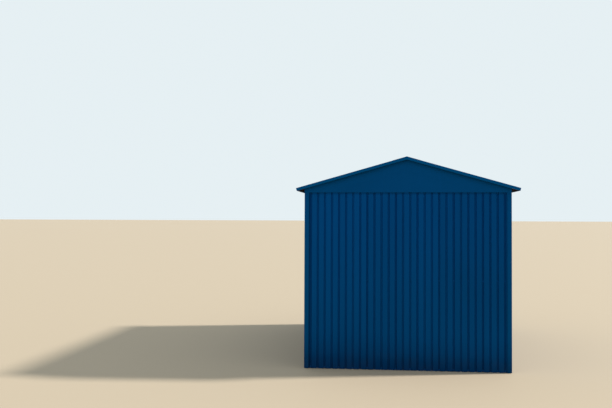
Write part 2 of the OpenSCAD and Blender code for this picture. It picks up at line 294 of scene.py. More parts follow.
def weathered_and_shaded_paint(finish, blue, streaks, groove=0.0, number=0.0):
    """Colour, roughness and height of coil paint that has stood on a beach, with
    painted shade in the grooves and towards the foot, and a painted fall of sky
    light lower down.

    Streaks is the stretched place that the rain marks follow, groove the share
    of soiling and painted shade in a groove, and number what the tone changes
    with from rib to rib.
    """
    drift = finish.noise(1.4) - 0.5
    mottle = finish.noise(38.0, 4.0) - 0.5
    rain = finish.noise(1.0, 3.0, streaks).within(0.52, 0.75)
    tone = 1.0 + drift * 0.16 + mottle * 0.08 + (finish.scatter(number) - 0.5) * 0.05
    colour = finish.brightened(blue, tone + rain * 0.05)
    colour = finish.tinted(groove, colour, GROOVE_DIRT_AND_SHADE)
    # Painted fall of sky light: the paint turns less blue lower down
    colour = finish.tinted(1.0 - finish.z.within(SKYLIGHT_FALLOFF_LOW, SKYLIGHT_FALLOFF_HIGH), colour, SKYLIGHT_FALLOFF_TINT)
    # Painted shade towards the foot, strongest in the lowest band; the same low share
    # spreads the sand
    low = 1.0 - finish.z.within(0.0, FOOT_SHADE_AND_SAND_HIGH)
    foot = 1.0 - finish.z.within(DARK_FOOT_LOW, DARK_FOOT_HIGH)
    colour = finish.tinted(low * 0.72 + foot * 0.30, colour, FOOT_SHADE)
    sand = low * low * finish.noise(9.0, 5.0).within(0.35, 0.8)
    grains = finish.noise(330.0, 2.0).within(0.66, 0.72) * low
    dusty = sand * 0.010 + grains * 0.02
    colour = finish.mixed(dusty, colour, DUST)
    roughness = 0.40 + mottle * 0.10 + rain * 0.08 + dusty * 3.0
    waves = finish.noise(2.6, 1.0) * 0.0011
    peel = finish.noise(520.0, 1.0) * 0.0000035
    return colour, roughness, waves + peel


def two_sided(finish, outside, colour, roughness):
    """The paint on the weather side and the thin backing coat on the other."""
    inner = 1.0 - outside.within(-0.12, 0.02)
    cloud = finish.noise(14.0, 3.0) - 0.5
    backing = finish.brightened(BACKING_COAT, 1.0 + cloud * 0.22)
    return finish.mixed(inner, colour, backing), roughness + inner * 0.16


def wall_groove(depth):
    """0 on the ribs' crests and 1 on the floor of a groove, from the depth."""
    return depth.within(0.0015, RIB * 0.92)


def wall_finish(name, along, across, crest, half_length):
    """Ribbed wall sheet: along runs with the wall and across leads out of it.

    The grooves' soiling and painted shade differ from groove to groove. The
    sheets' laps leave a dark line of cut edge and painted gap shadow, except on
    the back wall, whose short sheets have no laps.
    """
    finish = Finish(name)
    position, outward = getattr(finish, along), getattr(finish, across)
    is_end_wall = across == "y"
    lapped = (outward < 0.0) if is_end_wall else 1.0
    count = (position + half_length - WALL_END) / WALL_PITCH
    groove = wall_groove(crest - abs(outward))
    # Each groove's tint, soiling and painted shade, differs a little from groove to groove
    groove_tint = groove * (0.55 + finish.scatter((count + 0.5).floor() + 50.0) * 0.45)
    streaks = finish.stretched(34.0, 34.0, 0.9)
    colour, roughness, height = weathered_and_shaded_paint(
        finish, WALL_BLUE, streaks, groove_tint, count.floor()
    )

    laps = (count - FIRST_LAP) / SHEET_GROOVES
    sheet_tone_index = (laps.floor() * lapped + 1.0) % SHEET_TONES
    tone = (1.0 - sheet_tone_index) * SHEET_TONE_STEP * finish.z.within(0.1, 0.9)
    colour = finish.brightened(colour, 1.0 + tone)

    # Painted shade in a strip beside each corner trim and in a line under the gable panel
    trim_edge = half_length - TRIM_W
    edge_shade = abs(position).within(trim_edge - 0.012, trim_edge)
    if is_end_wall:
        under_panel = 1.0 - abs(finish.z + 0.008 - GABLE_Z).within(0.010, 0.016)
        edge_shade = edge_shade + under_panel * 0.8
    colour = finish.tinted(edge_shade, colour, PAINTED_EDGE_SHADE)
    shaded = (-position).within(trim_edge - 0.016, trim_edge - 0.010)
    colour = finish.tinted(shaded, colour, TRIM_SHADE)

    facing = getattr(finish, "normal_" + across) * outward.sign()
    colour, roughness = two_sided(finish, facing, colour, roughness)
    from_lap = abs(laps - (laps + 0.5).floor()) * (SHEET_GROOVES * WALL_PITCH)
    # Dark line at each lap: the cut edge with a painted gap shadow
    edge = (from_lap < SHEET) * lapped
    colour = finish.mixed(edge * 0.6, colour, CUT_EDGE_AND_GAP_SHADE)
    normal = finish.relief(height - edge * 0.0002)
    return finish.surface(colour, roughness, 0.0, normal, **PAINT_GLOSS)


def trim_finish(name):
    """Folded flat trims."""
    finish = Finish(name)
    streaks = finish.stretched(30.0, 30.0, 0.8)
    colour, roughness, height = weathered_and_shaded_paint(finish, TRIM_BLUE, streaks)
    return finish.surface(colour, roughness, 0.0, finish.relief(height), **PAINT_GLOSS)


def slope_depth(finish):
    """How far a point lies under the roof's top plane, square to the slope."""
    drop = (RIDGE_Z - finish.z) * math.cos(SLOPE)
    return drop - abs(finish.x) * math.sin(SLOPE)


def slope_facing(finish):
    """1 where a face looks up square to the slope, and -1 where it looks down."""
    sideways = finish.normal_x * finish.x.sign() * math.sin(SLOPE)
    return sideways + finish.normal_z * math.cos(SLOPE)


def gable_finish():
    """Gable panels, with a painted band of light a little below the verge trims."""
    finish = Finish("gable_panel_paint")
    streaks = finish.stretched(26.0, 26.0, 1.1)
    colour, roughness, height = weathered_and_shaded_paint(finish, GABLE_BLUE, streaks)
    depth = slope_depth(finish)
    # Painted light: a band a little below the verge trims is brightened
    lit_under_verge = depth.within(0.034, 0.044) * (1.0 - depth.within(0.05, 0.16))
    colour = finish.brightened(colour, 1.0 + lit_under_verge * 0.18)
    facing = finish.normal_y * finish.y.sign()
    colour, roughness = two_sided(finish, facing, colour, roughness)
    return finish.surface(colour, roughness, 0.0, finish.relief(height), **PAINT_GLOSS)


def roof_finish():
    """Roof sheet and ridge cap: chalked by the sun, with dust down the pans."""
    finish = Finish("roof_sheet_paint")
    pan = (slope_depth(finish) - 2 * SHEET).within(0.003, ROOF_RIB * 0.95)
    number = ((finish.y + BODY_Y) / ROOF_PITCH).floor()
    streaks = finish.stretched(0.9, 30.0, 0.9)
    # The pans take part of the groove tint: soiling and painted shade
    colour, roughness, height = weathered_and_shaded_paint(
        finish, ROOF_BLUE, streaks, pan * 0.4, number
    )
    settled = finish.noise(4.0, 5.0, finish.stretched(1.0, 4.0, 1.0)).within(0.40, 0.85)
    colour = finish.mixed(pan * settled * 0.028 + settled * 0.012, colour, DUST)
    colour, roughness = two_sided(
        finish, slope_facing(finish), colour, roughness + CHALKED + settled * 0.08
    )
    return finish.surface(colour, roughness, 0.0, finish.relief(height), **CHALK_GLOSS)


def verge_finish():
    """Verge trims: paint outside, lighter than on the other trims as painted light, chalked
    on top, and backing coat in the fold.
    """
    finish = Finish("verge_trim_paint")
    streaks = finish.stretched(2.0, 30.0, 30.0)
    colour, roughness, height = weathered_and_shaded_paint(finish, VERGE_LIT_BLUE, streaks)
    depth, facing = slope_depth(finish), slope_facing(finish)
    inward = -finish.normal_y * finish.y.sign()
    under_leg = (facing < -0.5) * (depth < 0.02)
    inside = (inward > 0.5) * (depth > SHEET * 2) + under_leg
    roughness = roughness + (facing > 0.5) * CHALKED
    colour, roughness = two_sided(finish, 1.0 - inside * 2.0, colour, roughness)
    return finish.surface(colour, roughness, 0.0, finish.relief(height), **PAINT_GLOSS)


def eaves_finish():
    """Eaves trims: backing coat in the fold, and a matt near-black painted shade below the
    leg.
    """
    finish = Finish("eaves_trim_paint")
    streaks = finish.stretched(30.0, 2.0, 30.0)
    colour, roughness, height = weathered_and_shaded_paint(finish, TRIM_BLUE, streaks)
    below = slope_facing(finish) < -0.5
    inward = (finish.normal_x * finish.x.sign()) < -0.5
    leg_under = below * (slope_depth(finish) < EAVES_FOLD)
    colour, roughness = two_sided(finish, 1.0 - inward * 2.0, colour, roughness)
    weather_side = finish.coat(
        colour, roughness, 0.0, finish.relief(height), **PAINT_GLOSS
    )
    painted_shade_side = finish.coat(EAVES_SHADE, 0.9, Specular_IOR_Level=0.0)
    sides = {0: leg_under, 1: weather_side, 2: painted_shade_side}
    return finish.covered(finish.node("ShaderNodeMixShader", inputs=sides))


def leaf_finish():
    """Door leaf: painted sheet and cover strips, primed angle iron behind."""
    finish = Finish("door_leaf_paint")
    depth = LEAF_Y - finish.y
    inside_edge = abs(finish.x) - LEAF_NEAR
    streaks = finish.stretched(34.0, 34.0, 0.9)
    # The leaf's grooves take the groove tint: soiling and painted shade
    colour, roughness, height = weathered_and_shaded_paint(
        finish, WALL_BLUE, streaks, wall_groove(depth - SHEET),
        (inside_edge / WALL_PITCH).floor(),
    )
    reach = abs(finish.z - HANDLE_Z)
    handled = (1.0 - inside_edge.within(0.02, 0.13)) * (1.0 - reach.within(0.12, 0.42))
    colour = finish.brightened(colour, 1.0 - handled * 0.12)
    colour, roughness = two_sided(
        finish, finish.normal_y, colour, roughness - handled * 0.10
    )
    iron_face = SHEET * 2 + RIB
    iron = depth.within(iron_face + 0.0002, iron_face + 0.0006)
    cloud = finish.noise(24.0, 4.0) - 0.5
    colour = finish.mixed(iron, colour, finish.brightened(PRIMER, 1.0 + cloud * 0.25))
    return finish.surface(
        colour, roughness + iron * 0.1, 0.0, finish.relief(height), **PAINT_GLOSS
    )


def sill_finish():
    """The sill, where feet have worn the paint down to the zinc."""
    finish = Finish("sill_paint")
    streaks = finish.stretched(30.0, 30.0, 1.0)
    colour, roughness, height = weathered_and_shaded_paint(finish, TRIM_BLUE, streaks)
    middle = 1.0 - abs(finish.x).within(0.1, 0.5)
    scrapes = finish.noise(4.0, 6.0, finish.stretched(3.0, 60.0, 1.0))
    upper = finish.normal_z.within(0.3, 0.9)
    worn = (scrapes + middle * 0.16).within(0.60, 0.74) * upper
    colour = finish.mixed(worn * 0.75, colour, ZINC)
    return finish.surface(
        colour, roughness - worn * 0.06, worn * 0.8, finish.relief(height), **PAINT_GLOSS
    )


def primer_finish():
    """Grey primer on the tubes, a little brown at the welds of the corner posts."""
    finish = Finish("frame_primer")
    cloud = finish.noise(7.0, 5.0) - 0.5
    spray = finish.noise(240.0, 2.0) - 0.5
    colour = finish.brightened(PRIMER, 1.0 + cloud * 0.30 + spray * 0.12)
    foot_weld, head_weld = (
        1.0 - abs(finish.z - end.z).within(0.002, 0.022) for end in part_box("corner_posts")
    )
    patches = finish.noise(60.0, 4.0).within(0.48, 0.62)
    colour = finish.mixed((foot_weld + head_weld) * patches * 0.55, colour, BURNT_WELD)
    height = finish.noise(150.0, 3.0) * 0.00006
    return finish.surface(colour, 0.58 + cloud * 0.2, 0.0, finish.relief(height))


def galvanised_finish():
    """Hot-dip zinc: cloudy flakes with soft borders, dulled by salt air."""
    finish = Finish("galvanised_steel")
    flake = finish.node(
        "ShaderNodeTexVoronoi",
        inputs={"Vector": finish.place, "Scale": 260.0},
        output="Color",
    )
    grain = finish.parts(flake)[0]
    salt = finish.noise(45.0, 5.0).within(0.46, 0.70)
    colour = finish.brightened(ZINC, 0.82 + grain * 0.30 - salt * 0.12)
    roughness = 0.34 + grain * 0.12 + salt * 0.22
    height = finish.noise(420.0, 2.0) * 0.00004
    return finish.surface(colour, roughness, 0.95 - salt * 0.35, finish.relief(height))


def fixing_finish(name, blue):
    """Painted screw heads and rivets, rubbed a little on their tops."""
    finish = Finish(name)
    rub = finish.noise(900.0, 2.0).within(0.55, 0.75)
    colour = finish.mixed(rub * 0.07, finish.brightened(blue, 0.96 + rub * 0.1), ZINC)
    return finish.surface(colour, 0.40 + rub * 0.15, 0.0, **PAINT_GLOSS)


def soft_finish(name, colour, scale, depth):
    """Rubber and closed-cell foam."""
    finish = Finish(name)
    cells = finish.noise(scale, 3.0)
    shade = finish.brightened(colour, 0.8 + cells * 0.5)
    return finish.surface(shade, 0.78 + cells * 0.1, 0.0, finish.relief(cells * depth))


wall_ends = wall_finish("end_wall_paint", "x", "y", CREST_Y, BODY_X)
wall_sides = wall_finish("side_wall_paint", "y", "x", CREST_X, BODY_Y)
gable_paint = gable_finish()
trim_paint = trim_finish("corner_trim_paint")
doorway_paint = trim_finish("doorway_trim_paint")
verge_paint = verge_finish()
eaves_paint = eaves_finish()
roof_paint = roof_finish()
leaf_paint = leaf_finish()
sill_paint = sill_finish()
primer = primer_finish()
galvanised = galvanised_finish()
wall_fixing = fixing_finish("wall_fixing_paint", WALL_BLUE)
roof_fixing = fixing_finish("roof_fixing_paint", ROOF_BLUE)
rubber = soft_finish("washer_rubber", RUBBER, 700.0, 0.00003)
foam = soft_finish("closer_foam", FOAM, 420.0, 0.0003)

# The finish of the nodes whose names start with these words. The rest is primed.
FINISHES = {
    "corner_trim": trim_paint,
    "verge_trim": verge_paint,
    "eaves_trim": eaves_paint,
    "roof_sheet": roof_paint,
    "ridge_cap": roof_paint,
    "front_wall": wall_ends,
    "back_wall": wall_ends,
    "left_wall": wall_sides,
    "right_wall": wall_sides,
    "front_gable": gable_paint,
    "back_gable": gable_paint,
    "door_leaf": leaf_paint,
    "door_frame": doorway_paint,
    "door_sill": sill_paint,
    "door_hinges": galvanised,
    "door_handle": galvanised,
    "door_hasp": galvanised,
}


def paint(piece, finish):
    piece.data.materials.clear()
    piece.data.materials.append(finish)


for name, node in nodes.items():
    chosen = [FINISHES[start] for start in FINISHES if name.startswith(start)]
    paint(node, chosen[0] if chosen else primer)


# Modelling


def added(operator, **size):
    """A new primitive, alone selected, with its place in its mesh."""
    bpy.ops.object.select_all(action="DESELECT")
    operator(**size)
    bpy.ops.object.transform_apply(location=True, rotation=True, scale=True)
    return bpy.context.object


def plate(low, high):
    """A block from its lowest to its highest corner."""
    low, high = Vector(low), Vector(high)
    return added(
        bpy.ops.mesh.primitive_cube_add,
        size=1.0,
        location=(low + high) / 2,
        scale=high - low,
    )


def disc(radius, low, high, sides=12):
    """A round or sided block that stands on its end."""
    return added(
        bpy.ops.mesh.primitive_cylinder_add,
        radius=radius,
        depth=high - low,
        vertices=sides,
        location=(0.0, 0.0, (low + high) / 2),
    )


def chosen_alone(piece):
    bpy.ops.object.select_all(action="DESELECT")
    piece.select_set(True)
    bpy.context.view_layer.objects.active = piece


def edit(piece, kind, wanted):
    """Opens the piece with the wanted faces or edges selected."""
    chosen_alone(piece)
    bpy.context.tool_settings.mesh_select_mode = (
        False, kind == "edges", kind == "polygons"
    )
    for group in (piece.data.vertices, piece.data.edges, piece.data.polygons):
        for part in group:
            part.select = False
    for part in getattr(piece.data, kind):
        part.select = wanted(part)
    bpy.ops.object.mode_set(mode="EDIT")


def close_edit():
    bpy.ops.object.mode_set(mode="OBJECT")


def everything(part):
    return True


def faces_up(face):
    return face.normal.z > 0.9


def pushed_out(move):
    """Extrudes the selected faces of the open piece."""
    bpy.ops.mesh.extrude_region_move(TRANSFORM_OT_translate={"value": move})


def edge_ends(piece, edge):
    return [piece.data.vertices[i].co for i in edge.vertices]


def eased(piece, width, segments, wanted):
    """Rounds the edges whose two ends the test accepts."""
    edit(piece, "edges", lambda edge: wanted(*edge_ends(piece, edge)))
    bpy.ops.mesh.bevel(offset=width, segments=segments, affect="EDGES")
    close_edit()
    return piece


def eased_top(piece, top, width, segments=1):
    """Rounds the edges that lie at the height of the top."""
    return eased(piece, width, segments, lambda a, b: min(a.z, b.z) > top - TINY)


def joined(name, pieces):
    bpy.ops.object.select_all(action="DESELECT")
    for piece in pieces:
        piece.select_set(True)
    bpy.context.view_layer.objects.active = pieces[0]
    if len(pieces) > 1:
        bpy.ops.object.join()
    pieces[0].name = name
    pieces[0].data.name = name
    return pieces[0]


def repeated(name, model, places):
    """Copies of a model, each with its own mesh, joined as one piece."""
    copies = []
    for place in places:
        copy = model.copy()
        copy.data = model.data.copy()
        copy.data.transform(place)
        bpy.context.scene.collection.objects.link(copy)
        copies.append(copy)
    whole = joined(name, copies)
    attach(whole, "root")
    return whole


def standing(point, outward, turn=0.0):
    """A place whose own Z leads out of a surface."""
    aim = Vector(outward).to_track_quat("Z", "Y").to_matrix().to_4x4()
    return Matrix.Translation(point) @ aim @ Matrix.Rotation(turn, 4, "Z")


def row(count, first, step):
    """Evenly spaced places."""
    return [first + i * step for i in range(count)]


def groove_places(length, end, pitch):
    """Middles of the grooves, fitted between the two ends."""
    count = max(1, round((length - 2 * end) / pitch))
    step = (length - 2 * end) / count
    return row(count + 1, -length / 2 + end, step)


def every_second(places):
    """Every second place, and always the last one."""
    return sorted(set(places[::2]) | {places[-1]})


def smooth(piece):
    """Shades the round faces smooth and leaves the sharp edges."""
    chosen_alone(piece)
    bpy.ops.object.shade_smooth_by_angle(angle=math.radians(35))
    return piece


def finished(name, parts, finish):
    for part in parts:
        paint(part, finish)
    return smooth(joined(name, parts))


def sheet_screw(name, head_paint):
    """Hexagon head on a flange, a steel washer and a rubber ring under it."""
    ring = disc(RING_R, 0.0, RING_TOP)
    paint(ring, rubber)
    washer = eased_top(disc(WASHER_R, RING_TOP, WASHER_TOP), WASHER_TOP, 0.0006)
    flange = eased_top(disc(FLANGE_R, WASHER_TOP, FLANGE_TOP), FLANGE_TOP, 0.0005)
    head = eased_top(disc(HEAD_R, FLANGE_TOP, HEAD_TOP, 6), HEAD_TOP, 0.0005)
    for part in (washer, flange, head):
        paint(part, head_paint)
    return smooth(joined(name, [ring, washer, flange, head]))


def sunk_head(radius, top, rounding, rim, pit):
    """A domed round head with a pit in its middle."""
    head = eased_top(disc(radius, 0.0, top), top, rounding, 2)
    edit(head, "polygons", faces_up)
    bpy.ops.mesh.inset(thickness=rim)
    bpy.ops.transform.translate(value=(0.0, 0.0, -pit))
    close_edit()
    return head


def blind_rivet(name, head_paint):
    """Domed head with the pit that the pin leaves."""
    head = sunk_head(RIVET_R, RIVET_TOP, rounding=0.0011, rim=0.0016, pit=0.0006)
    return finished(name, [head], head_paint)


chance = random.Random(11)
wall_screw = sheet_screw("wall_screw_model", wall_fixing)
roof_screw = sheet_screw("roof_screw_model", roof_fixing)
rivet = blind_rivet("rivet_model", wall_fixing)


def turned():
    """A screw's own turn, as the hexagons stop anywhere."""
    return chance.uniform(0.0, math.pi / 3)


def middle_z(node):
    low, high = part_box(node)
    return (low.z + high.z) / 2


# Screws in the grooves of the walls, along the rails and girts behind them
tie_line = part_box("tie_rails")[0].z + RAIL_LINE
screw_levels = [middle_z("base_rails_end"), middle_z("girt_front"), tie_line]
end_grooves = groove_places(2 * BODY_X, WALL_END, WALL_PITCH)
side_grooves = groove_places(2 * BODY_Y, WALL_END, WALL_PITCH)
doorway_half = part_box("door_frame_trim")[1].x
back_grooves = [x for x in end_grooves if abs(x) > doorway_half + TRIM_CLEAR]

front_screws = [
    standing((x, -GROOVE_Y, z), (0, -1, 0), turned())
    for z in screw_levels for x in every_second(end_grooves)
]
repeated("front_wall_screws", wall_screw, front_screws)
back_screws = [
    standing((x, GROOVE_Y, z), (0, 1, 0), turned())
    for z in screw_levels for x in back_grooves[::2] + back_grooves[-1:]
]
repeated("back_wall_screws", wall_screw, back_screws)
for side, sign in (("left", -1), ("right", 1)):
    side_screws = [
        standing((sign * GROOVE_X, y, z), (sign, 0, 0), turned())
        for z in screw_levels for y in every_second(side_grooves)
    ]
    repeated(f"{side}_wall_screws", wall_screw, side_screws)


def sheet_lap(node, finish):
    """One wall sheet's edge over the next.

    It rises over a rib's crest, runs down the flank and ends in the middle of
    the groove. X runs along the wall, Y stands upright and Z leads outwards.
    """
    low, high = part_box(node)
    over_rib, feather = 0.040, 0.00002
    shoulder = GROOVE_FLOOR / 2 + WALL_FLANK
    start = shoulder + over_rib
    mitre = SHEET * math.tan(math.atan2(RIB, WALL_FLANK) / 2)
    strip = plate((shoulder, 0.0, 0.0), (start, high.z - low.z, SHEET))

    def moved_edge(reach, move):
        edit(strip, "edges", lambda edge: all(
            end.z > SHEET / 2 and abs(end.x - reach) < TINY
            for end in edge_ends(strip, edge)
        ))
        bpy.ops.transform.translate(value=move)
        close_edit()

    moved_edge(start, (0.0, 0.0, feather - SHEET))
    moved_edge(shoulder, (-mitre, 0.0, 0.0))
    edit(strip, "polygons", lambda face: face.normal.x < -0.5)
    pushed_out((-WALL_FLANK, 0.0, -RIB))
    pushed_out((-GROOVE_FLOOR / 2, 0.0, 0.0))
    close_edit()
    paint(strip, finish)
    return strip


# Laps of the wall sheets
front_lap = sheet_lap("front_wall_sheet", wall_ends)
side_lap = sheet_lap("right_wall_sheet", wall_sides)
front_laps = [
    standing((x, -CREST_Y, SHEET_FOOT), (0, -1, 0))
    for x in end_grooves[FIRST_LAP::SHEET_GROOVES]
]
repeated("front_wall_laps", front_lap, front_laps)
for side, sign in (("left", -1), ("right", 1)):
    side_laps = [
        standing((sign * CREST_X, y, SHEET_FOOT), (sign, 0, 0))
        for y in side_grooves[FIRST_LAP::SHEET_GROOVES]
    ]
    repeated(f"{side}_wall_laps", side_lap, side_laps)

# Rivets up the middle of both legs of the corner trims
trim_middle = TRIM_W / 2
corner_places = [
    standing(point, outward)
    for z in row(7, first=0.09, step=0.2975) for sx in (-1, 1) for sy in (-1, 1)
    for point, outward in (
        ((sx * (BODY_X - trim_middle), sy * BODY_Y, z), (0, sy, 0)),
        ((sx * BODY_X, sy * (BODY_Y - trim_middle), z), (sx, 0, 0)),
    )
]
repeated("corner_trim_rivets", rivet, corner_places)


def on_slope(side, distance, y, depth):
    """A point at a distance down the roof and a depth under its top plane."""
    return Vector((
        side * (distance * math.cos(SLOPE) - depth * math.sin(SLOPE)),
        y,
        RIDGE_Z - distance * math.sin(SLOPE) - depth * math.cos(SLOPE),
    ))


# Rivets along the gable panels' lower edges, at every third rib, and up their slopes
gable_points = [
    (x + WALL_PITCH / 2, GABLE_Z + PANEL_LINE) for x in end_grooves[1:-1:3]
]
slope_points = [
    on_slope(side, distance, 0.0, SLOPE_LINE)
    for side in (-1, 1) for distance in row(4, first=0.10, step=0.26)
]
gable_points += [(point.x, point.z) for point in slope_points]
gable_places = [
    standing((x, sy * BODY_Y, z), (0, sy, 0)) for x, z in gable_points for sy in (-1, 1)
]
repeated("gable_panel_rivets", rivet, gable_places)

# Screws on the roof ribs over the eaves rails and purlins, and along cap and verges
pans = groove_places(2 * BODY_Y, 0.0, ROOF_PITCH)
ribs = [(a + b) / 2 for a, b in zip(pans, pans[1:])]
rail_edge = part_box("eaves_rails")[1].x
rail_row = (rail_edge - TUBE / 2) / math.cos(SLOPE)
purlin_row = rail_edge / math.cos(SLOPE) / 2
verge_y = ribs[-1] + VERGE_LINE
for side, sign in (("left", -1), ("right", 1)):
    outward = (sign * math.sin(SLOPE), 0, math.cos(SLOPE))
    roof_places = [
        standing(on_slope(sign, distance, y, 2 * SHEET), outward, turned())
        for distance in (rail_row, purlin_row) for y in ribs[1:-1:2] + ribs[-2:-1]
    ]
    roof_places += [
        standing(on_slope(sign, CAP_LINE, y, 0.0), outward, turned())
        for y in ribs[1:-1:2]
    ]
    roof_places += [
        standing(on_slope(sign, distance, sy * verge_y, SHEET), outward)
        for distance in row(4, first=0.20, step=0.30) for sy in (-1, 1)
    ]
    repeated(f"{side}_roof_screws", roof_screw, roof_places)


def foam_closer(low_half, high_half, cut=None):
    """Foam block that fills a rib or a pan at the eaves, with its top at the origin."""
    block = plate(
        (-CLOSER_HALF, -low_half, CLOSER_BELOW - ROOF_RIB), (CLOSER_HALF, low_half, 0.0)
    )
    edit(block, "polygons", faces_up)
    bpy.ops.transform.resize(value=(1.0, high_half / low_half, 1.0))
    close_edit()
    if cut:
        edit(block, "polygons", everything)
        bpy.ops.mesh.bisect(
            plane_co=(0.0, cut, 0.0), plane_no=(0.0, 1.0, 0.0),
            clear_outer=True, use_fill=True,
        )
        close_edit()
    eased(block, 0.0008, 2, lambda a, b: a.x * b.x > 0)
    paint(block, foam)
    return block


def closers(name, model, spots, depth):
    """Closers 20 mm inside the eaves, at each side of the roof and each y."""
    distance = ROOF_EDGE.x / math.cos(SLOPE) - CLOSER_INSET
    places = [
        Matrix.Translation(on_slope(side, distance, y, depth + CLOSER_ABOVE))
        @ Matrix.Rotation(side * SLOPE, 4, "Y") @ Matrix.Rotation(spin, 4, "Z")
        for side in (-1, 1) for y, spin in spots
    ]
    repeated(name, model, places)


rib_half = (ROOF_PITCH - ROOF_PAN) / 2 - CLOSER_SIDE
pan_half = ROOF_PAN / 2 - CLOSER_SIDE
edge_rib = BODY_Y + (pans[1] - pans[0]) / 2
sheet_edge = ROOF_EDGE.y - edge_rib
rib_closer = foam_closer(rib_half, rib_half - ROOF_FLANK)
pan_closer = foam_closer(pan_half, pan_half + ROOF_FLANK)
edge_closer = foam_closer(rib_half, rib_half - ROOF_FLANK, sheet_edge - CLOSER_END)
rib_spots = [(y, 0.0) for y in ribs]
pan_spots = [(y, 0.0) for y in (-BODY_Y, BODY_Y)]
edge_spots = [(-edge_rib, math.pi), (edge_rib, 0.0)]
closers("eaves_rib_closers", rib_closer, rib_spots, 3 * SHEET)
closers("verge_pan_closers", pan_closer, pan_spots, 2 * SHEET)
closers("verge_edge_closers", edge_closer, edge_spots, 3 * SHEET)

# Rivets up into the eaves trims, under every second pan
eaves_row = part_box("eaves_trim_right")[1].x / math.cos(SLOPE) - EAVES_LINE
eaves_places = [
    standing(
        on_slope(sign, eaves_row, y, ROOF_RIB + 4 * SHEET),
        (-sign * math.sin(SLOPE), 0, -math.cos(SLOPE)),
    )
    for sign in (-1, 1) for y in pans[1:-1:2]
]
repeated("eaves_trim_rivets", rivet, eaves_places)

# Rivets round the door leaves' cover strips
hinge_foot, hinge_head = (corner.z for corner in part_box("door_hinges"))
hinge_levels = [
    hinge_foot + HINGE_L / 2, (hinge_foot + hinge_head) / 2, hinge_head - HINGE_L / 2
]
strip_near = LEAF_NEAR + TRIM_W - STRIP_LINE
strip_far = LEAF_FAR - TRIM_W + STRIP_LINE
leaf_levels = row(10, LEAF_LOW + LEAF_LINE, (LEAF_HIGH - LEAF_LOW - 2 * LEAF_LINE) / 9)
leaf_points = [(x, z) for x in (strip_near, strip_far) for z in leaf_levels]
leaf_points += [
    (x, z)
    for x in row(5, strip_near, (strip_far - strip_near) / 4)[1:-1]
    for z in (leaf_levels[0], leaf_levels[-1])
]
leaf_places = [
    standing((side * x, DOOR_FACE, z), (0, 1, 0))
    for x, z in leaf_points for side in (-1, 1)
]
repeated("door_leaf_rivets", rivet, leaf_places)


def beside_hinges(level):
    return all(abs(level - hinge) > HINGE_L / 2 + HINGE_CLEAR for hinge in hinge_levels)


# Rivets on the doorway's flange: up both sides clear of the hinges, above and below
flange_x = (doorway_half + LEAF_FAR) / 2
flange_top = (LEAF_HIGH + GABLE_Z) / 2 + LINTEL_LINE
flange_levels = [z for z in row(9, first=0.08, step=0.21) if beside_hinges(z)]
flange_points = [(side * flange_x, z) for side in (-1, 1) for z in flange_levels]
flange_points += [(x, flange_top) for x in row(5, first=-0.54, step=0.27)]
flange_points += [(x, SILL_LINE) for x in row(5, first=-0.48, step=0.24)]
flange_places = [standing((x, DOOR_FACE, z), (0, 1, 0)) for x, z in flange_points]
repeated("doorway_rivets", rivet, flange_places)


# Hinges, pull handle and hasp. Their own Y stands upright and Z leads outwards.


def cut_across(piece, levels):
    """Cuts every face at those heights."""
    for level in levels:
        edit(piece, "polygons", everything)
        bpy.ops.mesh.bisect(plane_co=(0.0, level, 0.0), plane_no=(0.0, 1.0, 0.0))
        close_edit()


def upright_bar(radius, low, high, middle, sides=16):
    """A round bar along Y, with eased ends, at a place (x, z)."""
    bar = added(
        bpy.ops.mesh.primitive_cylinder_add,
        radius=radius,
        depth=high - low,
        vertices=sides,
        location=(middle[0], (low + high) / 2, middle[1]),
        rotation=(math.pi / 2, 0.0, 0.0),
    )
    return eased(bar, radius * 0.16, 1, lambda a, b: abs(a.y - b.y) < TINY)


def eased_plate(low, high, corner):
    """A plate with its four corners and its outer edges eased."""
    block = plate(low, high)
    eased(block, corner, 3, lambda a, b: abs(a.z - b.z) > (high[2] - low[2]) / 2)
    return eased_top(block, high[2], 0.0004)


def button_head(radius):
    """A domed bolt head with a sunk drive."""
    return sunk_head(
        radius, radius * 0.55,
        rounding=radius * 0.34, rim=radius * 0.24, pit=radius * 0.28,
    )


def moved(piece, x, y, z=0.0, turn=0.0):
    piece.data.transform(Matrix.Translation((x, y, z)) @ Matrix.Rotation(turn, 4, "Z"))
    return piece


KNUCKLES = 5
knuckle_cuts = [HINGE_L * (i / KNUCKLES - 0.5) for i in range(KNUCKLES + 1)]


def hinge_flap(tabs):
    """A flap with tabs at some of the knuckles, from the pin out to +X."""
    gap, corner = 0.0066, 0.007
    flap = plate((gap, -HINGE_L / 2, 0.0), (HINGE_W, HINGE_L / 2, HINGE_T))
    cut_across(flap, knuckle_cuts[1:-1])
    edit(
        flap,
        "polygons",
        lambda face: face.normal.x < -0.9
        and int((face.center.y / HINGE_L + 0.5) * KNUCKLES) in tabs,
    )
    pushed_out((-gap, 0.0, 0.0))
    close_edit()
    eased(
        flap, corner, 3,
        lambda a, b: abs(a.z - b.z) > HINGE_T / 2 and min(a.x, b.x) > HINGE_W - TINY,
    )
    return eased(
        flap, 0.0004, 1,
        lambda a, b: min(a.z, b.z) > HINGE_T - TINY and min(a.x, b.x) > gap - TINY,
    )


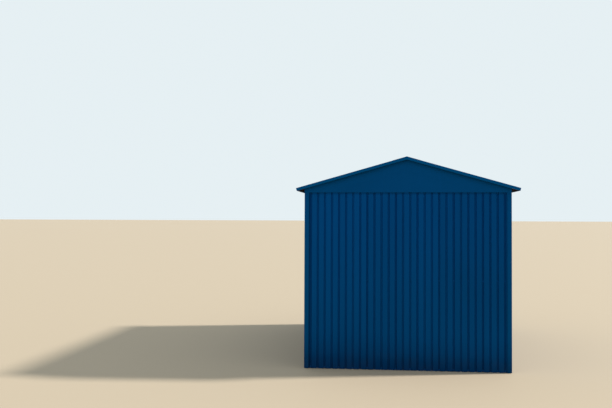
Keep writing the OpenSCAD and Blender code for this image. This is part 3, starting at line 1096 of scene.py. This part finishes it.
def butt_hinge():
    """Two flaps, five knuckles round a pin with a tip at each end, and six bolts."""
    radius = (HINGE_REACH - DOOR_FACE) / 2
    play, tip_reach = 0.0003, 0.0006
    bolt_r, bolt_x, bolt_levels = 0.0043, 0.021, (-0.034, 0.0, 0.034)
    parts = [hinge_flap((0, 2, 4)), moved(hinge_flap((1, 3)), 0.0, 0.0, 0.0, math.pi)]
    for low in knuckle_cuts[:-1]:
        high = low + HINGE_L / KNUCKLES
        parts.append(upright_bar(radius, low + play, high - play, (0, radius)))
    for end in (-1, 1):
        tip = end * (HINGE_L / 2 + tip_reach)
        low, high = min(tip, -tip * 0.9), max(tip, -tip * 0.9)
        parts.append(upright_bar(radius * 0.62, low, high, (0, radius), 12))
    for side in (-1, 1):
        for level in bolt_levels:
            parts.append(moved(button_head(bolt_r), side * bolt_x, level, HINGE_T))
    return finished("butt_hinge_model", parts, galvanised)


def bent_bar(radius, across, out, bend, sides=14, steps=6):
    """A round bar that leaves a plate, runs upright and comes back to it."""
    straight = out - bend
    bar = added(
        bpy.ops.mesh.primitive_cylinder_add,
        radius=radius,
        depth=straight,
        vertices=sides,
        location=(0.0, -across / 2, straight / 2),
    )
    quarter = {"steps": steps, "angle": math.pi / 2, "axis": (1.0, 0.0, 0.0)}
    edit(bar, "polygons", faces_up)
    bpy.ops.mesh.spin(center=(0.0, bend - across / 2, straight), **quarter)
    pushed_out((0.0, across - 2 * bend, 0.0))
    bpy.ops.mesh.spin(center=(0.0, across / 2 - bend, straight), **quarter)
    pushed_out((0.0, 0.0, -straight))
    bpy.ops.mesh.select_all(action="SELECT")
    bpy.ops.mesh.remove_doubles(threshold=TINY)
    bpy.ops.mesh.normals_make_consistent(inside=False)
    close_edit()
    return bar


def pull_handle():
    """A bent bar with a collar and a round foot plate at each end."""
    low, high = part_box("door_handle")
    foot, bar, bend = (high.x - low.x) / 2, 0.006, 0.018
    collar_r, collar_t, screw_r, screw_x = 0.0084, 0.0026, 0.0028, 0.0112
    across, out = high.z - low.z - 2 * foot, high.y - low.y - bar
    parts = [bent_bar(bar, across, out, bend)]
    for end in (-1, 1):
        level = end * across / 2
        plate_foot = eased_top(disc(foot, 0.0, HINGE_T, 24), HINGE_T, 0.0006)
        collar_top = HINGE_T + collar_t
        collar = disc(collar_r, HINGE_T, collar_top, 16)
        eased_top(collar, collar_top, 0.0018, 2)
        parts += [moved(plate_foot, 0.0, level), moved(collar, 0.0, level)]
        for side in (-1, 1):
            parts.append(moved(button_head(screw_r), side * screw_x, level, HINGE_T))
    return finished("pull_handle_model", parts, galvanised)


def slotted(piece, low, high):
    """Cuts a slot with round ends through a plate."""
    cutter = plate(low, high)
    eased(
        cutter, (high[0] - low[0]) * 0.49, 4,
        lambda a, b: abs(a.z - b.z) > (high[2] - low[2]) / 2,
    )
    modifier = piece.modifiers.new("slot", "BOOLEAN")
    modifier.operation = "DIFFERENCE"
    modifier.object = cutter
    chosen_alone(piece)
    bpy.ops.object.modifier_apply(modifier=modifier.name)
    bpy.data.objects.remove(cutter)
    return piece


def hasp_and_staple():
    """A fixed plate on one leaf, its hinged strap, and the staple on the other."""
    low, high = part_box("door_hasp")
    half_l, half_h = (high.x - low.x) / 2, (high.z - low.z) / 2
    pin_x, pin_z, pin_r, play = 0.008, 0.0040, 0.0038, 0.0003
    base_t, strap_t = 0.0022, 0.0025
    staple_x, wire, loop = -half_l / 2, 0.0028, 0.0170
    slot_x, slot_y, plate_x, bolt_r, bolt_y = 0.004, 0.013, 0.012, 0.0046, 0.010
    fixed = eased_plate((pin_x + 0.004, -half_h, 0.0), (half_l, half_h, base_t), 0.004)
    strap_foot = base_t + 0.0002
    strap = eased_plate(
        (-half_l, -half_h + 0.001, strap_foot),
        (pin_x - 0.003, half_h - 0.001, strap_foot + strap_t),
        0.009,
    )
    slotted(
        strap, (staple_x - slot_x, -slot_y, 0.0), (staple_x + slot_x, slot_y, 0.01)
    )
    under = eased_plate(
        (staple_x - plate_x, -half_h + 0.002, 0.0),
        (staple_x + plate_x, half_h - 0.002, base_t),
        0.003,
    )
    staple = bent_bar(wire, loop, high.y - low.y - wire, loop / 2 - 0.0001, 12, 5)
    moved(staple, staple_x, 0.0)
    parts = [fixed, strap, under, staple]
    knuckle = half_h * 2 / 3
    for start in row(3, -half_h, knuckle):
        end = start + knuckle
        parts.append(upright_bar(pin_r, start + play, end - play, (pin_x, pin_z), 14))
    for x in (pin_x + 0.013, half_l - 0.009):
        for y in (-bolt_y, bolt_y):
            parts.append(moved(button_head(bolt_r), x, y, base_t))
    return finished("hasp_model", parts, galvanised)


hinge = butt_hinge()
hinge_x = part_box("door_hinges")[1].x - HINGE_W
hinge_places = [
    standing((side * hinge_x, DOOR_FACE, level), (0, 1, 0), math.pi * (side > 0))
    for side in (-1, 1) for level in hinge_levels
]
hinges = repeated("butt_hinges", hinge, hinge_places)
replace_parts(hinges, "door_hinges")

handle = pull_handle()
handle_low, handle_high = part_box("door_handle")
handle_x = (handle_low.x + handle_high.x) / 2
handle_place = standing((handle_x, DOOR_FACE, HANDLE_Z), (0, 1, 0))
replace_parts(repeated("pull_handle", handle, [handle_place]), "door_handle")

hasp = hasp_and_staple()
hasp_place = standing((0.0, DOOR_FACE, middle_z("door_hasp")), (0, 1, 0))
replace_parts(repeated("hasp_and_staple", hasp, [hasp_place]), "door_hasp")

for model in (
    wall_screw, roof_screw, rivet, front_lap, side_lap,
    rib_closer, pan_closer, edge_closer, hinge, handle, hasp,
):
    bpy.data.objects.remove(model)


# Floor, light and camera
FLOOR_SPAN, FLOOR_TONE = 2000.0, (0.37, 0.305, 0.222)
SKY_TONE = (0.79, 0.87, 0.90, 1.0)
KEY_TONE, KEY_STRENGTH, KEY_WIDTH = (1.0, 0.95, 0.88), 6.4, math.radians(5)
TOWARD_KEY = Vector((2.902, 0.661, 1.910))
EYE = Vector((-0.162, -10.050, 1.605))
YAW, PITCH, ROLL = (math.radians(angle) for angle in (-6.33, 1.14, 0.21))
# The picture's width and the focal length in its pixels, and the sensor in millimetres
PICTURE_W, FOCAL_PIXELS, SENSOR_W = 612, 770, 36.0

floor = added(bpy.ops.mesh.primitive_plane_add, size=FLOOR_SPAN)
floor.name = "floor"
ground = Finish("pale_floor")
paint(floor, ground.surface(FLOOR_TONE, 0.9))

scene = bpy.context.scene
scene.view_settings.view_transform = "Standard"
world = bpy.data.worlds.new("studio")
scene.world = world
world.use_nodes = True
backdrop = world.node_tree.nodes["Background"]
backdrop.inputs["Color"].default_value = SKY_TONE
backdrop.inputs["Strength"].default_value = 1.0

bpy.ops.object.light_add(type="SUN", rotation=(0.0, 0.0, 0.0))
key_light = bpy.context.object
key_light.name = "key_light"
key_light.data.energy = KEY_STRENGTH
key_light.data.color = KEY_TONE
key_light.data.angle = KEY_WIDTH
key_light.rotation_mode = "QUATERNION"
key_light.rotation_quaternion = TOWARD_KEY.to_track_quat("Z", "Y")

ahead = Vector((
    math.sin(YAW) * math.cos(PITCH), math.cos(YAW) * math.cos(PITCH), math.sin(PITCH)
))
level = Vector((math.cos(YAW), -math.sin(YAW), 0.0))
above = level.cross(ahead)
right = level * math.cos(ROLL) + above * math.sin(ROLL)
up = above * math.cos(ROLL) - level * math.sin(ROLL)
turn = Matrix((right, up, -ahead)).transposed()
bpy.ops.object.camera_add()
camera = bpy.context.object
camera.name = "camera"
camera.matrix_world = Matrix.Translation(EYE) @ turn.to_4x4()
camera.data.sensor_width = SENSOR_W
camera.data.lens = SENSOR_W * FOCAL_PIXELS / PICTURE_W
camera.data.clip_end = FLOOR_SPAN
scene.camera = camera
